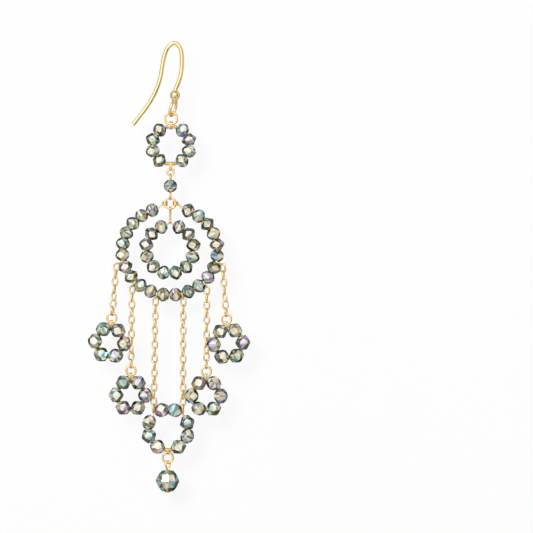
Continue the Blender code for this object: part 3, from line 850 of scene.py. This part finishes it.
def makeChain(strand, side, hoop, bottom):
    c, count = chains, strand["count"]
    after = strand["slot"] if side > 0 else len(hoop.angles) - strand["slot"]
    thread, out = hoop.slot(after)
    first = turnedDown(out, side * math.radians(strand["droop"]))
    start = thread + first * (strand["reach"] * mm)
    inner = (wires["thread"] + wires["chain"]) / 2 + wires["play"]
    if strand["lean"] is None:
        end = bottom.slot(1 if side > 0 else len(bottom.angles) - 1)[0] + zAxis * inner
        down, pitch = (end - start).normalized(), (end - start).length / count
    else:
        lean = math.radians(strand["lean"])
        down, pitch = xAxis * (side * math.sin(lean)) - zAxis * math.cos(lean), c["pitch"]
    across = yAxis.cross(down)
    holder = strand["reach"] * mm + inner + c["wire"]
    paths = [linkPath(thread - first * inner, first, yAxis, holder)]
    twist = math.pi / 2 if count % 2 else 0.0
    late = max(0, count - c["twisted"] - 1)
    for k in range(count):
        turn = c["phase"] + k * math.pi / 2 + twist * max(0, k - late) / (count - 1 - late)
        turn += dice.uniform(-c["shake"], c["shake"])
        wide = across * math.cos(turn) + yAxis * math.sin(turn)
        top = start - down * c["press"] + down * (k * pitch)
        paths.append(linkPath(top, down, wide, c["linkLength"]))
    number = strand["number"] if side < 0 else c["strandsInAll"] + 1 - strand["number"]
    bm = bmesh.new()
    addWires(bm, paths, c["wire"], closed=True, roundness=1)
    finishPiece(f"chain{number}", bm, gold, "drop", [f"chain_{number}"])
    return number, down


flowers = {
    "gaps": (0.6,) * 6,  # between the beads, in mm
    "thread": 0.4 * mm,
    "bailWire": 0.32 * mm,
    "bailApart": 0.15 * mm,
    "bailShare": 0.8,
    "knot": 0.5 * mm,
    "wrap": {"radius": 0.3 * mm, "turns": 3, "wire": 0.24 * mm},
}


def makeFlower(number, down):
    size, held = flowers, jumpRings["flower"]
    right, up = yAxis.cross(-down), -down
    node = f"flower_jump_ring_{number}"
    makeJumpRing(f"flowerJumpRing{number}", "flower", node, "drop", right, up)
    foot = boxMiddle(node) + down * ((held["width"] - held["wire"]) / 2)
    ring = BeadRing("long", size["gaps"])
    ring.right, ring.up = right, up
    depth = bailDepth(wires["jumpRing"]) + wires["flowerBailExtra"]
    ring.centre = foot + down * (depth + ring.topHeight())
    beadString(f"flowerBeads{number}", ring, longBead, [f"flower_ring_{number}"])
    bm = bmesh.new()
    addWires(bm, [ring.thread()], size["thread"], closed=True)
    reach = depth * size["bailShare"]
    for side in (-1, 1):
        off = right * (side * size["bailApart"])
        addBail(bm, foot + off, wires["jumpRing"], down, reach, size["bailWire"])
    knot, half = ring.centre + up * ring.topHeight(), right * size["knot"]
    addCoil(bm, knot - half, knot + half, size["wrap"])
    finishPiece(f"flowerThread{number}", bm, gold, "drop")


bottomString = {
    "gaps": (0.2, 1.35, 0.3, 0.4, 2.2, 0.4, 0.3, 1.35),  # between the beads, in mm
    "thread": 0.42 * mm,
    "knotWrap": {"from": 0.2 * mm, "to": 1.05 * mm, "radius": 0.34 * mm, "turns": 2.5,
                 "wire": 0.26 * mm},
    "bailWire": 0.25 * mm,
    "bailApart": 0.24 * mm,
    "bailShare": 0.9,
    "wrapShare": 0.45,
    "wrap": {"radius": 0.27 * mm, "turns": 2, "wire": 0.22 * mm},
}


def bottomRing():
    ring = BeadRing("long", bottomString["gaps"])
    held = Vector((plumb, 0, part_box("bottom_jump_ring")[1][2] - wires["jumpRing"] / 2))
    ring.centre = held + zAxis * (bailDepth(wires["jumpRing"]) + ring.lowHeight())
    return ring, held


def makeBottomRing(ring, held):
    size = bottomString
    beadString("bottomBeads", ring, longBead, ["bottom_bead_ring"])
    bm = bmesh.new()
    addWires(bm, [ring.thread()], size["thread"], closed=True)
    knot = ring.centre - zAxis * ring.lowHeight()
    addWraps(bm, knot, size["knotWrap"])
    reach = (knot - held).length * size["bailShare"]
    for shift in (-1, 0, 1):
        off = xAxis * (shift * size["bailApart"])
        addBail(bm, held + off, wires["jumpRing"], zAxis, reach, size["bailWire"])
    for after in (1, len(ring.angles) - 1):
        thread = ring.slot(after)[0]
        for end in (ring.ends(after - 1)[1], ring.ends(after)[0]):
            addCoil(bm, end, end.lerp(thread, size["wrapShare"]), size["wrap"])
    finishPiece("bottomThread", bm, gold, "drop")


dropPiece = {
    "width": 6.0 * mm,
    "sides": 10,
    "rows": ((1.0, 0.48, 0), (0.64, 0.76, 0), (0.03, 1.0, 0)),
    "turn": math.radians(6.5),  # brings one facet round to the glint lamp
    # lowers the drop's painted facet light
    "lift": -0.06,
    "wire": 0.52 * mm,
    "eye": 0.85 * mm,
    "eyeSide": (0.87, 0.5, 0.0),
    "eyePoints": 24,
    # shares of the eye's height: how wide its bow and its sides are, and how low its neck is
    "bowWidth": 0.75,
    "sideWidth": 0.62,
    "neckDrop": 1.9,
    "sideDrop": 0.3 * mm,
    "foot": 0.1 * mm,
    "head": 0.72 * mm,
    "headFlatness": 0.32,
    "headSegments": 24,
    "headRings": 12,
    "wrap": {"radius": 0.3 * mm, "turns": 2.5, "wire": 0.26 * mm},
}


def makeDrop():
    size = dropPiece
    low, high = (Vector(corner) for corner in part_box("drop_bead"))
    template = beadTemplate(size["width"], high.z - low.z, size["sides"], size["rows"])
    bm = bmesh.new()
    addBead(bm, template, (low + high) / 2, zAxis, size["turn"], size["lift"])
    finishPiece("dropBead", bm, crystal, "drop", ["drop_bead"])
    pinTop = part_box("drop_pin")[1][2]
    eye = Vector((plumb, 0, pinTop - size["wire"] / 2 - size["eye"]))
    bm = bmesh.new()
    neck = eye - zAxis * (size["eye"] * size["neckDrop"])
    side, count = Vector(size["eyeSide"]), size["eyePoints"]
    bow = loop(eye, side, zAxis, size["eye"] * size["bowWidth"], size["eye"], count)
    out, sag = side * (size["eye"] * size["sideWidth"]), zAxis * size["sideDrop"]
    tear = [neck, eye + out - sag, *bow[:count // 2 + 1], eye - out - sag, neck]
    addWires(bm, [tear], size["wire"], smooth=True)
    foot = Vector((plumb, 0, low.z - size["foot"]))
    addWires(bm, [[neck, foot]], size["wire"])
    addCoil(bm, neck, Vector((plumb, 0, high.z)), size["wrap"])
    flat = Matrix.Diagonal((1, 1, size["headFlatness"], 1))
    bmesh.ops.create_uvsphere(bm, u_segments=size["headSegments"], v_segments=size["headRings"],
                              radius=size["head"],
                              matrix=Matrix.Translation(foot - zAxis * size["foot"]) @ flat)
    finishPiece("dropPin", bm, gold, "drop", ["drop_pin"])


plumb = boxMiddle("top_jump_ring").x
crystalPieces = bpy.data.collections.new("crystalPieces")  # what the glint lamp shines on
gold = goldMaterial()
crystal = crystalMaterial()
smallBead, longBead = (
    beadTemplate(beads[kind]["cutWidth"], beads[kind]["cutLength"], beads["sides"], beads["rows"])
    for kind in ("small", "long"))
addStudio()
print("studio ready")

makeEarWire()
makeJumpRing("topJumpRing", "top", "top_jump_ring", "hook_ring")
makeTopString()
makeJumpRing("linkRing", "link", "link_ring", "drop")
makeLink()
makeJumpRing("connectorRing", "connector", "connector_ring", "drop")
print("hook and links ready")

hoop = makeOuterHoop()
makeHanger(makeInnerHoop())
print("hoops ready")

bottom, bottomHeld = bottomRing()
for strand in chains["strands"]:
    for side in (-1, 1):
        number, down = makeChain(strand, side, hoop, bottom)
        if strand["lean"] is not None:
            makeFlower(number, down)
makeBottomRing(bottom, bottomHeld)
makeJumpRing("bottomJumpRing", "bottom", "bottom_jump_ring", "drop")
makeDrop()
print("chains, flowers and drop ready")
